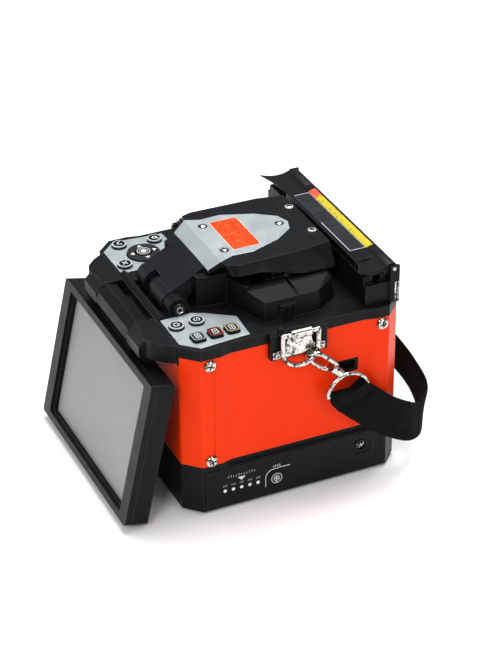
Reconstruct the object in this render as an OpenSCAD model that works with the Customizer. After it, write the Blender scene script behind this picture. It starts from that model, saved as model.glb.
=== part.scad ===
// Fibre fusion splicer: a squat instrument box on a black base, with a tilting
// monitor in front, a hinged windshield over the splicing chamber, a sleeve
// heater behind it and a hand strap between two side rings.
// Millimetres. +X is the side with the battery pack, -Y is the monitor side,
// +Z is up. The origin is the centre of the footprint, on the table.

/* [Body] */
// Width across the two side panels
body_w = 146; // [144:1:148]
// Depth from the front panel to the rear panel
body_d = 144; // [143:1:146]
// Height of the top of the black base
base_h = 34.7; // [34:0.1:36]
// Height of the top edge of the orange panels
panel_top = 110; // [109:0.5:111]
// Height of the deck that carries the keypads
deck_z = 117; // [116.5:0.5:117.5]
// Length of the vertical corner chamfers
corner = 10; // [8:1:11]
// Depth of the long recess in each side panel
side_recess = 1.8; // [1:0.1:2.4]
// Thickness of the panels
panel_t = 3; // [2:0.5:4]

/* [Monitor] */
// Width of the monitor housing
monitor_w = 141.8; // [136:0.2:144]
// Height of the monitor housing
monitor_h = 96.3; // [90:0.1:96.3]
// Thickness of the monitor housing
monitor_t = 15; // [13:0.5:15]
// Width of the visible screen
screen_w = 116; // [110:1:120]
// Height of the visible screen
screen_h = 83; // [76:1:84]
// Lean of the monitor, top edge back
monitor_tilt = 12.46; // [8:0.01:13]

/* [Windshield] */
// Height of the windshield's flat top
shield_top = 146; // [145:0.5:148]
// Height of the rim that the windshield closes over
rim_z = 132; // [131:0.5:132]
// Height of the cheeks on both sides of the windshield arm
cheek_top = 137; // [135:0.5:137.5]

/* [Heater] */
// Height of the heater body under its lid
heater_top = 136; // [135:0.5:136]

/* [Splicing line] */
// Distance of the fibre line behind the middle of the box
fibre_y = 8; // [7:0.5:9]
// Height of the fibre line
fibre_z = 131; // [130.5:0.1:131]

/* [Strap] */
// Width of the webbing
strap_w = 25; // [20:1:26]
// Thickness of the webbing
strap_t = 2.4; // [1.6:0.1:3]

/* [Hidden] */
$fn = 48;
hw = body_w / 2;
hd = body_d / 2;
foot_h = 2;
floor_z = 2;

// Monitor hinge, monitor frame measured from its axis
mon_y = -81;
mon_z = 107.5;
mon_top = -10.33;
mon_front = -9.19;
mon_knuckle_r = 9.1;
mon_barrel_r = 8.8;
mon_barrel_half = 24.8;
mon_pin_r = 2.5;

// Windshield hinge
ws_y = -57;
ws_z = 121;
ws_barrel_r = 7.5;
ws_pin_r = 2;

// Heater lid hinge
heat_y = 66;
heat_z = 139.8;
heat_barrel_r = 3;
heat_pin_r = 1.2;

// Battery pack
batt_face_y0 = -60.6;
batt_face_y1 = 57;
batt_face_z0 = 5;
batt_face_z1 = 29.8;
batt_x0 = -8;
cell_r = 9;
cell_len = 65;
cell_pitch = 18.2;
jack_y = 44.5;
jack_z = 20.5;
check_y = -13.6;
check_z = 13.8;

// Keys: [x, y] of each centre
key_r = 4.6;
key_top = 119.4;
key_gap = 0.35;
key_travel = 0.8;
board_top = 111.4;
key_cancel_at = [-38.6, -64.4];
key_menu_at = [-63.1, -58.6];
key_zoom_at = [-61, -35.5];
dpad_at = [-48, -48.1];
key_power_at = [42.6, -64.2];
key_reset_at = [42, -51];
key_heat_at = [59.4, -57.7];
key_set_at = [59.1, -46.5];
key_splice_at = [58.7, -35.6];
dpad_r = 10.3;
dpad_pivot_z = 113.1;
dpad_pin_r = 0.8;

// Hinge of each fibre clamp lid
lid_y = fibre_y + 6.6;
lid_z = fibre_z + 1.5;

// Strap ring on each side
ring_x = 78.6;
ring_z = 117;
ring_r = 11.7;
ring_wire = 1.5;
ring_drop = 10.5;
hook_lean = 47;
hook_wire = 1.5;
hook_inner = 4.5;

// Middle of the webbing from the strap ring's bar round to the middle of the
// back, with the direction across the webbing at each point.
strap_route = [
    [80.5, 31, 65.4], [81.5, 41, 58.5], [82.5, 53, 48], [82, 67, 38.5], [79, 78, 33],
    [72, 88, 32.5], [60, 94, 36.5], [45, 95.5, 42], [25, 94.5, 47.5], [0, 94, 50]];
strap_across = [
    [0, 1, 0], [0, 0.9, 0.44], [0, 0.66, 0.75], [-0.1, 0.3, 0.95], [-0.15, 0.1, 0.98],
    [-0.1, 0.15, 0.98], [0.15, 0.1, 0.98], [0.2, 0, 0.98], [0.15, 0, 0.99], [0, 0, 1]];
strap_split = 4;

black = [0.07, 0.075, 0.08];
dark = [0.13, 0.14, 0.15];
orange = [0.95, 0.19, 0.02];
silver = [0.72, 0.77, 0.8];
steel = [0.8, 0.8, 0.78];

// ---- Shared shapes ----

// Right-hand half of the plan outline, front to back, moved in by t
function side_points(t, r) = [
    [hw - corner - 0.414 * t, -hd + t], [hw - t, -hd + corner + 0.414 * t], [hw - t, -49],
    [hw - r - t, -42], [hw - r - t, 46], [hw - t, 53],
    [hw - t, hd - corner - 0.414 * t], [hw - corner - 0.414 * t, hd - t]];

module footprint(t, r) {
    p = side_points(t, r);
    polygon(concat(p, [for (i = [7:-1:0]) [-p[i].x, p[i].y]]));
}

module slab(z0, z1) {
    translate([0, 0, z0])
        linear_extrude(z1 - z0)
            children();
}

// Box between two corners
module block(a, b) {
    translate(a)
        cube(b - a);
}

module x_rod(r, x0, x1, y, z) {
    translate([x0, y, z])
        rotate([0, 90, 0])
            cylinder(r = r, h = x1 - x0);
}

module y_rod(r, y0, y1, x, z) {
    translate([x, y0, z])
        rotate([-90, 0, 0])
            cylinder(r = r, h = y1 - y0);
}

// Outline in Y and Z, given as [y, z] points, swept along X
module x_prism(x0, x1, points) {
    translate([x0, 0, 0])
        rotate([90, 0, 90])
            linear_extrude(x1 - x0)
                polygon(points);
}

module both_sides() {
    children();
    mirror([1, 0, 0])
        children();
}

module rounded_square(w, h, r) {
    offset(r = r, $fn = 24)
        square([w - 2 * r, h - 2 * r], center = true);
}

module pan_screw(r, h) {
    difference() {
        union() {
            cylinder(r = r, h = h * 0.45);
            translate([0, 0, h * 0.45])
                cylinder(r1 = r, r2 = r * 0.62, h = h * 0.55);
        }
        translate([0, 0, h - 0.9])
            cylinder(r = r * 0.34, h = 2, $fn = 6);
    }
}

// ---- Base ----

module base_outline(t) {
    polygon([
        [hw - corner, -hd + t], [hw - t, -hd + corner], [hw - t, hd - corner],
        [hw - corner, hd - t], [-hw + corner, hd - t], [-hw + t, hd - corner],
        [-hw + t, -hd + corner], [-hw + corner, -hd + t]]);
}

module bottom_tray() color(black) {
    difference() {
        union() {
            slab(floor_z, 31)
                base_outline(0);
            slab(31, base_h)
                footprint(0, side_recess);
            for (x = [-50, 50], y = [-45, 45])
                translate([x, y, 30])
                    cylinder(r = 3, h = 29.8);
        }
        // battery bay and the wider mouth round its face
        block([batt_x0 - 1, -57.6, 4.6], [hw - 3, 55.6, 30.4]);
        block([hw - 4, batt_face_y0 - 0.6, 4.4], [hw + 5, batt_face_y1 + 0.6, 30.4]);
        // compartment for the charging board
        block([-hw + 4, -hd + 8, 5], [-34, hd - 8, 28]);
        // lightening pocket behind the front and rear walls
        block([-26, -hd + 4, 5], [hw - 16, -hd + 10.5, 28]);
        block([-26, hd - 12, 5], [hw - 16, hd - 4, 28]);
        // seat of the tripod insert
        translate([-21, 0, floor_z - 1])
            cylinder(r = 4.6, h = 12);
    }
}

module rubber_feet() color([0.05, 0.05, 0.05]) {
    for (p = [[-54, -56], [54, -56], [-54, 56], [54, 56], [0, 0]])
        translate([p.x, p.y, 0]) {
            cylinder(r1 = 6.4, r2 = 7, h = 0.8);
            translate([0, 0, 0.8])
                cylinder(r = 7, h = foot_h - 0.8);
        }
}

module tripod_insert() color([0.75, 0.6, 0.3]) {
    difference() {
        translate([-21, 0, floor_z])
            cylinder(r = 4.6, h = 11);
        translate([-21, 0, floor_z - 1])
            cylinder(r = 2.55, h = 10.5);
    }
}

// ---- Panels ----

module panel_ring() {
    difference() {
        footprint(0, side_recess);
        footprint(panel_t, side_recess);
    }
}

module side_panels() color(orange) {
    difference() {
        slab(base_h, panel_top)
            intersection() {
                panel_ring();
                union() {
                    translate([hw - corner + 0.2, -hd - 1])
                        square([20, body_d + 2]);
                    translate([-hw - 10.2, -hd - 1])
                        square([20, body_d + 2]);
                }
            }
        // upright seam in the front column
        both_sides()
            block([hw - 0.5, -54, base_h - 1], [hw + 1, -53.4, panel_top + 1]);
        // window of the data port
        block([hw - 6, 26, 75.5], [hw + 5, 42.4, 85]);
        both_sides()
            for (y = [-56.4, 57], z = [38.2, 106])
                x_rod(1.7, hw - 5, hw + 5, y, z);
    }
}

module end_panel(side) {
    slab(base_h, panel_top)
        intersection() {
            panel_ring();
            translate([-hw + corner, side > 0 ? hd - 6 : -hd - 4])
                square([body_w - 2 * corner, 10]);
        }
}

module front_panel() color(orange)
    end_panel(-1);

module rear_panel() color(orange)
    end_panel(1);

module panel_screws() color(steel) {
    both_sides()
        for (y = [-56.4, 57], z = [38.2, 106])
            translate([hw, y, z])
                rotate([0, 90, 0]) {
                    pan_screw(3.7, 2);
                    translate([0, 0, -6])
                        cylinder(r = 1.5, h = 6);
                }
}

// ---- Upper housing ----

keypad_outline = [
    [31, -70], [60.4, -70.2], [70, -60.3], [68.4, -43.5], [67.4, -27.8],
    [45.5, -26.6], [34, -43], [30.6, -50]];

// Plan of the wing that runs from the deck's front corner to a monitor knuckle
knuckle_wing = [
    [25.3, -72.3], [25.3, -82], [44.4, -86.2], [50, -84.2], [56.4, -78.4], [60.2, -72.3]];

// Bevelled tub round the splicing chamber
module tub() {
    hull() {
        slab(deck_z - 1, deck_z)
            polygon([[59.8, -14.4], [59.8, 22], [50, 36], [-50, 36], [-59.8, 22], [-59.8, -14.4]]);
        slab(rim_z - 2.4, rim_z - 2)
            polygon([[58.4, -14], [58.4, 21], [48, 35], [-48, 35], [-58.4, 21], [-58.4, -14]]);
        slab(rim_z - 0.4, rim_z)
            polygon([[45, -15], [45, 34], [-45, 34], [-45, -15]]);
    }
    hull() {
        slab(deck_z - 1, deck_z)
            polygon([[38, -14], [27, -25.5], [15, -35], [-15, -35], [-27, -25.5], [-38, -14]]);
        slab(rim_z - 2, rim_z - 1)
            polygon([[36, -14], [25, -24], [13, -33], [-13, -33], [-25, -24], [-36, -14]]);
    }
    // straight wall from each cheek to the corner of the tub, with a low lip on it
    both_sides() {
        hull() {
            slab(deck_z - 1, deck_z)
                polygon([[28.2, -25.2], [59.8, -14.4], [59.8, -12], [28.2, -14]]);
            slab(rim_z - 2.4, rim_z - 2)
                polygon([[28.2, -25.2], [58.4, -14], [58.4, -12], [28.2, -14]]);
            slab(rim_z - 0.4, rim_z)
                polygon([[28.2, -25.2], [45, -18.9], [45, -14], [28.2, -14]]);
        }
        slab(rim_z - 1, rim_z + 2)
            polygon([[28.4, -25.2], [44, -19.3], [43.2, -17.4], [28.4, -23.2]]);
    }
    // catch on each side of the tub
    both_sides() {
        block([57, -5, 124.8], [61.6, 5.2, 127.2]);
        for (y = [-5, 4])
            block([57, y, deck_z - 1], [61.2, y + 1.2, 125]);
    }
    // cheeks on both sides of the arm, and the rim that runs back from them
    both_sides() {
        slab(deck_z - 1, rim_z)
            polygon([[20.6, -44], [24.6, -43.4], [26.4, -40.6], [28.2, -25.2], [30.4, -24],
                [39.7, -16.3], [46, -14], [20.6, -14]]);
        slab(rim_z - 1, cheek_top)
            polygon([[20.6, -44], [24.6, -43.4], [26.4, -40.6], [28.2, -25.2], [20.6, -25.2]]);
    }
}

module monitor_knuckle(r, x0, x1) {
    translate([x0, mon_y, mon_z])
        rotate([0, 90, 0])
            rotate([0, 0, 22.5])
                cylinder(r = r, h = x1 - x0, $fn = 8);
}

module key_wells() {
    for (p = [key_cancel_at, key_menu_at, key_zoom_at, key_power_at, key_reset_at])
        translate([p.x, p.y, panel_top - 1])
            cylinder(r = key_r + key_gap, h = 12);
    for (p = [key_heat_at, key_set_at, key_splice_at])
        translate([p.x, p.y, panel_top - 1])
            linear_extrude(12)
                rounded_square(10.1, 8.9, 2.4);
    translate([dpad_at.x, dpad_at.y, panel_top - 1])
        cylinder(r = dpad_r + 0.6, h = 12);
}

module upper_housing() color(dark) {
    difference() {
        union() {
            slab(panel_top, deck_z)
                footprint(0, side_recess);
            tub();
            // monitor knuckles and their webs
            both_sides() {
                monitor_knuckle(mon_knuckle_r, 25.3, 44.5);
                slab(panel_top + 0.1, 116.4)
                    polygon(concat(knuckle_wing, [[60.4, -70], [25.3, -70]]));
                slab(104.6, panel_top + 0.2)
                    polygon(knuckle_wing);
            }
            // low ridge between the monitor hinge and the windshield hinge
            x_prism(-30.6, 30.6, [[-70.6, deck_z - 1], [-70.6, 118.2], [-68.6, 119.4],
                [-67, 118.6], [-67, deck_z - 1]]);
            // windshield hinge ear and end piece
            for (x = [[-1.2, 1.6], [20.6, 29]]) {
                x_rod(6.8, x[0], x[1], ws_y, ws_z);
                block([x[0], ws_y - 6, 113], [x[1], ws_y + 6, ws_z]);
            }
        }
        // hollows under the deck, leaving a skin
        both_sides() {
            slab(panel_top - 1, 113.8)
                polygon([[33, -69.6], [59.6, -69.6], [hw - 6, -62.2], [hw - 6, -20], [33, -20]]);
            slab(panel_top - 1, 113.8)
                polygon([[42, 39], [hw - 6, 39], [hw - 6, 58], [58, hd - 5], [42, hd - 5]]);
        }
        // splicing chamber, a straight well down to the platform
        block([-38, -13, panel_top - 1], [38, 31, rim_z + 5]);
        // relief for the sloping microscope barrels
        block([-4, -18, panel_top - 1], [4, 34, 115]);
        // fibre entry slots through both tub walls
        block([-63, fibre_y - 1.1, fibre_z - 1.3], [63, fibre_y + 1.1, rim_z + 5]);
        // trough under the windshield arm
        block([-20.2, -66.6, 112], [20.3, -44, 121]);
        for (x = [[-20.2, -7.4], [1.7, 20.3]])
            x_rod(ws_barrel_r + 0.8, x[0], x[1], ws_y, ws_z);
        // seats of the keypad plates, and the key wells
        slab(116, deck_z + 1) {
            polygon(keypad_outline);
            mirror([1, 0, 0])
                polygon(keypad_outline);
        }
        key_wells();
        // pin bores
        both_sides()
            x_rod(mon_pin_r, 24, 42, mon_y, mon_z);
        x_rod(ws_pin_r, -16, 30, ws_y, ws_z);
        // trunnion bores of the cursor gimbal
        x_rod(dpad_pin_r + 0.1, dpad_at.x - 15, dpad_at.x + 15, dpad_at.y, dpad_pivot_z);
    }
    difference() {
        block([-1.2, ws_y - 6, 111.5], [1.6, ws_y + 6, ws_z]);
        x_rod(ws_pin_r, -3, 3, ws_y, ws_z);
    }
    // bearings of the cursor gimbal, hanging from the deck
    for (s = [-1, 1])
        difference() {
            translate([dpad_at.x + s * 12.4, dpad_at.y, dpad_pivot_z + 0.2])
                cube([2.4, 4, 2.8], center = true);
            x_rod(dpad_pin_r + 0.1, dpad_at.x - 15, dpad_at.x + 15, dpad_at.y, dpad_pivot_z);
        }
}

module keypad_plates() color(silver) {
    difference() {
        slab(116, deck_z + 0.4) {
            offset(delta = -0.15)
                polygon(keypad_outline);
            mirror([1, 0, 0])
                offset(delta = -0.15)
                    polygon(keypad_outline);
        }
        key_wells();
    }
}

// Main board, two keypad boards and the charging board
module circuit_boards() color([0.05, 0.3, 0.15]) {
    difference() {
        block([-58, -53, 59.8], [58, 53, 61.4]);
        for (x = [-50, 50], y = [-45, 45])
            translate([x, y, 55])
                cylinder(r = 1.2, h = 10);
    }
    for (p = [[-30, 20, 30, 26], [16, 18, 24, 24], [-20, -34, 40, 18], [30, -30, 14, 22]])
        block([p[0], p[1], 61.4], [p[0] + p[2], p[1] + p[3], 64.4]);
    both_sides() {
        slab(board_top - 1.4, board_top)
            polygon([[34, -67.5], [58.6, -67.5], [66.6, -59.5], [66.6, -27], [34, -27]]);
        for (y = [-66, -28.5])
            translate([49.5, y, board_top])
                cylinder(r = 1.4, h = 113.8 - board_top);
    }
    block([-66, -50, 5], [-38, 50, 6.6]);
}

// ---- Strap mountings ----

module ring_mounts() color(dark) {
    both_sides()
        difference() {
            union() {
                block([hw - side_recess, -18, 100], [75.4, 19, 116.8]);
                block([72.4, -17.4, 116], [75, -14.4, 118.6]);
                block([72.4, -12.6, 116], [75, -9.6, 120.4]);
            }
            for (y = [-14.4, 14.4])
                x_rod(1.2, hw - 1.5, 80, y, 103.4);
        }
}

module ring_plates() color(steel) {
    both_sides()
        difference() {
            union() {
                x_prism(75.4, 76.6, [[-17, 101.5], [17, 101.5], [17, 106], [9, 107],
                    [7, 116], [-7, 116], [-9, 107], [-17, 106]]);
                block([75.4, -6.5, 113], [77.2, 6.5, 117]);
                y_rod(2.8, -6.5, 6.5, ring_x, ring_z);
                for (y = [-14.4, 14.4])
                    translate([76.6, y, 103.4])
                        rotate([0, 90, 0])
                            pan_screw(2.4, 1.2);
            }
            y_rod(ring_wire + 0.06, -8, 8, ring_x, ring_z);
        }
}

// D ring: a bar through the barrel, two straight sides and a round bottom
module strap_ring() color(steel) {
    translate([ring_x, 0, 0]) {
        y_rod(ring_wire, -ring_r, ring_r, 0, ring_z);
        for (y = [-ring_r, ring_r]) {
            translate([0, y, ring_z])
                sphere(r = ring_wire);
            translate([0, y, ring_z - ring_drop])
                cylinder(r = ring_wire, h = ring_drop);
        }
        translate([0, 0, ring_z - ring_drop])
            half_torus(ring_r, ring_wire, -1);
    }
}

// Half of a wire ring in the YZ plane, above (1) or below (-1) its centre
module half_torus(radius, wire, half) {
    intersection() {
        rotate([0, 90, 0])
            rotate_extrude()
                translate([radius, 0])
                    circle(r = wire);
        translate([-wire - 1, -radius - wire - 1, half > 0 ? 0 : -radius - wire - 1])
            cube([2 * wire + 2, 2 * (radius + wire + 1), radius + wire + 1]);
    }
}

// Swivel snap hook with the half ring that holds the webbing
module snap_hook() color(steel) {
    hook_y = ring_r * sin(hook_lean);
    hook_z = ring_z - ring_drop - ring_r * cos(hook_lean);
    arc = hook_inner + hook_wire;
    translate([ring_x, hook_y, hook_z])
        rotate([hook_lean, 0, 0])
            rotate([0, 0, 45]) {
                translate([0, 0, -(hook_inner - ring_wire - 0.4)])
                    rotate([0, 0, 90])
                        half_torus(arc, hook_wire, 1);
                for (x = [-arc, arc])
                    translate([x, 0, -11.6])
                        cylinder(r = hook_wire, h = 9);
                translate([0, 0, -11.6])
                    rotate([0, 0, 90])
                        half_torus(arc, hook_wire, -1);
                translate([0, 0, -25])
                    cylinder(r = 3, h = 9);
            }
    translate([80.5, 31, 67.9])
        half_torus(13.2, 1.4, 1);
    y_rod(1.4, 16.4, 45.6, 80.5, 67.9);
}

function unit(v) = v / norm(v);

// Flat ribbon through a list of middle points
module ribbon(route, across) {
    n = len(route);
    side = [for (i = [0:n - 1]) unit(across[i]) * strap_w / 2];
    face = [for (i = [0:n - 1])
        unit(cross(route[min(i + 1, n - 1)] - route[max(i - 1, 0)], across[i])) * strap_t / 2];
    points = [for (i = [0:n - 1])
        for (k = [[1, 1], [1, -1], [-1, -1], [-1, 1]])
            route[i] + side[i] * k[0] + face[i] * k[1]];
    walls = [for (i = [0:n - 2], k = [0:3])
        for (f = [[4 * i + k, 4 * i + (k + 1) % 4, 4 * i + 4 + (k + 1) % 4],
            [4 * i + k, 4 * i + 4 + (k + 1) % 4, 4 * i + 4 + k]])
            f];
    last = 4 * (n - 1);
    polyhedron(points, concat([[3, 2, 1, 0]], walls, [[last, last + 1, last + 2, last + 3]]));
}

module strap_end_right() color(black)
    ribbon([for (i = [0:strap_split]) strap_route[i]], [for (i = [0:strap_split]) strap_across[i]]);

module strap_end_left() color(black)
    mirror([1, 0, 0])
        strap_end_right();

module strap_back() color(black) {
    last = len(strap_route) - 1;
    first_point = strap_route[strap_split] * 0.85 + strap_route[strap_split + 1] * 0.15;
    half = concat([first_point], [for (i = [strap_split + 1:last]) strap_route[i]]);
    half_across = [for (i = [strap_split:last]) strap_across[i]];
    m = len(half) - 1;
    ribbon(
        concat(half, [for (i = [m - 1:-1:0]) [-half[i].x, half[i].y, half[i].z]]),
        concat(half_across, [for (i = [m - 1:-1:0])
            [-half_across[i].x, half_across[i].y, half_across[i].z]]));
}

module port_insert() color(black) {
    difference() {
        block([62, 26.1, 75.6], [hw - side_recess - 0.4, 42.3, 84.9]);
        block([64, 28, 77.2], [hw, 40.4, 83.2]);
    }
    block([62, 29, 79.8], [69, 39.4, 80.6]);
}

// ---- Splicing chamber ----

module splicing_platform() color([0.6, 0.6, 0.62]) {
    difference() {
        block([-46, -30, 104], [46, 48, panel_top]);
        for (s = [-1, 1])
            translate([0, fibre_y + s * 22.9, 107])
                cube([15.6, 25, 20], center = true);
    }
    // pedestal of the v-groove block
    block([-5, fibre_y - 5.5, panel_top], [5, fibre_y + 5.5, 114]);
}

module vgroove_block() color([0.93, 0.93, 0.9]) {
    difference() {
        block([-5, fibre_y - 5.5, 114], [5, fibre_y + 5.5, fibre_z + 0.6]);
        block([-1.3, fibre_y - 8, 120], [1.3, fibre_y + 8, 145]);
        x_prism(-8, 8, [[fibre_y, fibre_z - 0.2], [fibre_y + 0.9, fibre_z + 1],
            [fibre_y - 0.9, fibre_z + 1]]);
    }
}

// Two tungsten rods in their insulated holders, on the chamber walls
module electrodes() color([0.85, 0.85, 0.8]) {
    y_rod(0.5, fibre_y + 1.5, fibre_y + 9, 0, fibre_z);
    y_rod(2.6, fibre_y + 9, 31, 0, fibre_z);
    y_rod(0.5, fibre_y - 9, fibre_y - 1.5, 0, fibre_z);
    y_rod(2.6, -13, fibre_y - 9, 0, fibre_z);
}

// Two objectives at 45 degrees under the fibre, each with its camera
module microscopes() color([0.2, 0.2, 0.22]) {
    for (s = [-1, 1])
        translate([0, fibre_y, fibre_z])
            rotate([s * 45, 0, 0]) {
                translate([0, 0, -38])
                    cylinder(r = 3, h = 23.5);
                translate([-7, -5.5, -49])
                    cube([14, 11, 11]);
            }
}

module feed_motors() color([0.55, 0.55, 0.57]) {
    for (s = [-1, 1]) {
        x_rod(5, s > 0 ? 22 : -42, s > 0 ? 42 : -22, fibre_y, 97);
        block([s * 32 - 4, fibre_y - 4, 99], [s * 32 + 4, fibre_y + 4, 104]);
    }
}

// Carriage that carries one fibre holder, with the lugs and pin of its lid
module fibre_stage() color([0.62, 0.63, 0.65]) {
    difference() {
        union() {
            block([9, fibre_y - 9, panel_top + 0.3], [34, fibre_y + 10, fibre_z - 1]);
            for (x = [10.4, 28.2])
                block([x, lid_y - 2, fibre_z - 2], [x + 1.4, lid_y + 2, lid_z + 1.9]);
        }
        x_prism(8, 35, [[fibre_y, fibre_z - 1.6], [fibre_y + 1, fibre_z], [fibre_y - 1, fibre_z]]);
        block([12, lid_y - 2.4, fibre_z - 2.4], [28, lid_y + 4, fibre_z + 2]);
    }
    x_rod(0.8, 10.4, 29.6, lid_y, lid_z);
}

module fibre_clamp() color(dark) {
    difference() {
        union() {
            x_rod(1.9, 12.2, 27.8, lid_y, lid_z);
            block([12.2, fibre_y - 3.4, fibre_z - 0.6], [27.8, lid_y - 1.1, lid_z + 1.5]);
        }
        x_rod(0.85, 8, 32, lid_y, lid_z);
        x_prism(8, 35, [[fibre_y, fibre_z + 0.6], [fibre_y + 1.2, fibre_z - 2],
            [fibre_y - 1.2, fibre_z - 2]]);
    }
}

module fibre_stage_right()
    fibre_stage();

module fibre_stage_left()
    mirror([1, 0, 0])
        fibre_stage();

module fibre_clamp_right()
    fibre_clamp();

module fibre_clamp_left()
    mirror([1, 0, 0])
        fibre_clamp();

// ---- Heater ----

module heater_body() color(dark) {
    difference() {
        union() {
            block([-66, 47.5, deck_z], [66, 69.5, heater_top]);
            for (x = [-70.4, 68.6])
                block([x, 63.5, deck_z], [x + 1.8, 69.5, heat_z + 2]);
            block([-68.8, 47.5, deck_z], [68.8, 69.5, 131]);
        }
        block([-42, 51.5, 127], [52, 60.5, heater_top + 1]);
        block([-80, 53.4, 131], [80, 58.6, heater_top + 1]);
        x_rod(heat_pin_r, -80, 80, heat_y, heat_z);
    }
}

// Aluminium heating channel that the sleeve lies in
module heater_element() color([0.8, 0.8, 0.8]) {
    difference() {
        block([-36, 51.6, 127], [46, 60.4, 135]);
        block([-40, 52.8, 128.2], [50, 59.2, 140]);
    }
}

module lid_barrel(x0, x1) {
    x_rod(heat_barrel_r, x0, x1, heat_y, heat_z);
    x_prism(x0, x1, [[60, 136.5], [63, 136.5], [heat_y - 1.5, 138], [heat_y, 142.8],
        [63, 142.4], [60, 141]]);
}

module heater_lid() color(dark) {
    difference() {
        union() {
            block([-42.8, 48, 136.5], [53.8, 62, 141]);
            lid_barrel(-42.8, 53.8);
        }
        block([-36, 50.4, 130], [42, 60.8, 150]);
        x_rod(heat_pin_r + 0.05, -80, 80, heat_y, heat_z);
    }
}

module heater_window() color([0.1, 0.11, 0.12, 0.6]) {
    block([-36, 50.4, 138.2], [42, 60.8, 141.4]);
}

module heater_clamp(x0, x1, flare) color(dark) {
    difference() {
        union() {
            slab(136.5, 139.8)
                polygon([[x0, 48], [x1, flare], [x1, 62], [x0, 62]]);
            x_prism(min(x1, x1 + sign(x0) * -7), max(x1, x1 + sign(x0) * -7),
                [[flare, 142.6], [flare + 1, 143], [flare + 6, 139.6],
                    [flare + 6, 138], [flare + 2.4, 138.2]]);
            lid_barrel(min(x0, x1), max(x0, x1));
        }
        x_rod(heat_pin_r + 0.05, -80, 80, heat_y, heat_z);
    }
}

module heater_clamp_left()
    heater_clamp(-43.3, -68.2, 41);

module heater_clamp_right()
    heater_clamp(54.3, 68.2, 42.4);

// Steel pins of the monitor, windshield and heater lid hinges
module hinge_pins() color(steel) {
    x_rod(mon_pin_r, -42, 42, mon_y, mon_z);
    x_rod(ws_pin_r, -19, 29, ws_y, ws_z);
    translate([29, ws_y, ws_z])
        rotate([0, 90, 0])
            pan_screw(4, 2);
    x_rod(heat_pin_r, -70.4, 70.4, heat_y, heat_z);
}

// ---- Monitor ----

module in_monitor() {
    translate([0, mon_y, mon_z])
        rotate([-monitor_tilt, 0, 0])
            children();
}

// Upright rounded slab of the monitor between two depths
module monitor_slab(y0, y1, w, h, r) {
    translate([0, y1, mon_top - monitor_h / 2])
        rotate([90, 0, 0])
            linear_extrude(y1 - y0)
                rounded_square(w, h, r);
}

module monitor_back() color(dark)
    in_monitor()
        difference() {
            union() {
                monitor_slab(mon_front + 4.2, mon_front + monitor_t, monitor_w, monitor_h, 2.5);
                block([-mon_barrel_half, -4, mon_top - 3],
                    [mon_barrel_half, mon_front + monitor_t, -3]);
                translate([-mon_barrel_half, 0, 0])
                    rotate([0, 90, 0])
                        rotate([0, 0, 22.5])
                            cylinder(r = mon_barrel_r, h = 2 * mon_barrel_half, $fn = 8);
            }
            monitor_slab(mon_front + 3, mon_front + monitor_t - 2.4,
                monitor_w - 8, monitor_h - 8, 2);
            x_rod(mon_pin_r + 0.06, -30, 30, 0, 0);
        }

module monitor_bezel() color(dark)
    in_monitor()
        difference() {
            monitor_slab(mon_front, mon_front + 4.2, monitor_w, monitor_h, 2.5);
            monitor_slab(mon_front - 1, mon_front + 1.7, screen_w + 5, screen_h + 3.6, 1.5);
            monitor_slab(mon_front - 1, mon_front + 10, screen_w, screen_h, 0.8);
        }

module lcd_panel() color([0.6, 0.61, 0.61])
    in_monitor()
        monitor_slab(mon_front + 4.2, mon_front + 7.4, screen_w + 6, screen_h + 4, 0.8);

// ---- Windshield ----

shield_plan = [
    [28.6, -28.6], [34.2, -27.4], [36.4, -21], [35.6, 24], [32.4, 41],
    [-32.4, 41], [-35.6, 24], [-36.4, -21], [-34.2, -27.4], [-28.6, -28.6]];

module shield_shell(grow, z0) {
    hull() {
        slab(z0, z0 + 1)
            polygon([[42 - grow, -22.4 + grow], [42 - grow, 40.6 - grow],
                [-42 + grow, 40.6 - grow], [-42 + grow, -22.4 + grow]]);
        slab(shield_top - 1 - grow, shield_top - grow)
            offset(delta = -grow)
                polygon(shield_plan);
    }
}

module windshield_cover() color(dark) {
    difference() {
        union() {
            shield_shell(0, rim_z + 1);
            // sloping front strip that meets the arm
            hull() {
                slab(shield_top - 3, shield_top)
                    polygon([[28.6, -28.6], [28.6, -24], [-28.6, -24], [-28.6, -28.6]]);
                slab(138.2, 140.7)
                    polygon([[26, -36], [26, -30], [-26, -30], [-26, -36]]);
            }
        }
        shield_shell(2.2, rim_z - 1);
        // the side skirts rise towards the front
        for (x = [[-50, -27], [27, 50]])
            x_prism(x[0], x[1], [[22, rim_z], [22, 133.2], [-7, 139.4], [-26, 140], [-30, 137.9],
                [-30, rim_z]]);
        // fibre notches in both side skirts
        block([-45, fibre_y - 2.9, rim_z], [45, fibre_y + 2.9, 137.2]);
        // seats of the two plates
        slab(shield_top - 1, shield_top + 1) {
            polygon(shield_plate_plan);
            polygon(rear_plate_plan);
        }
        plate_apron(0.1);
    }
}

// Front part of the silver plate, which runs down the slope towards the arm
module plate_apron(gap) {
    hull() {
        slab(shield_top - 0.8 - gap, shield_top + 0.3)
            polygon([[28.1 + gap, -28.4], [28.1 + gap, -27.6], [-28.1 - gap, -27.6],
                [-28.1 - gap, -28.4]]);
        slab(140 - gap, 141)
            polygon([[25.6 + gap, -36.1], [25.6 + gap, -35.6], [-25.6 - gap, -35.6],
                [-25.6 - gap, -36.1]]);
    }
}

shield_plate_plan = [
    [28.2, -28.4], [24.6, -19.5], [25.2, -6], [17.6, 14], [8.6, 26], [0, 28.8],
    [-8.6, 26], [-17.6, 14], [-25.2, -6], [-24.6, -19.5], [-28.2, -28.4]];

rear_plate_plan = [[24, 32.8], [28.6, 41.2], [-28.6, 41.2], [-24, 32.8]];

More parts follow.
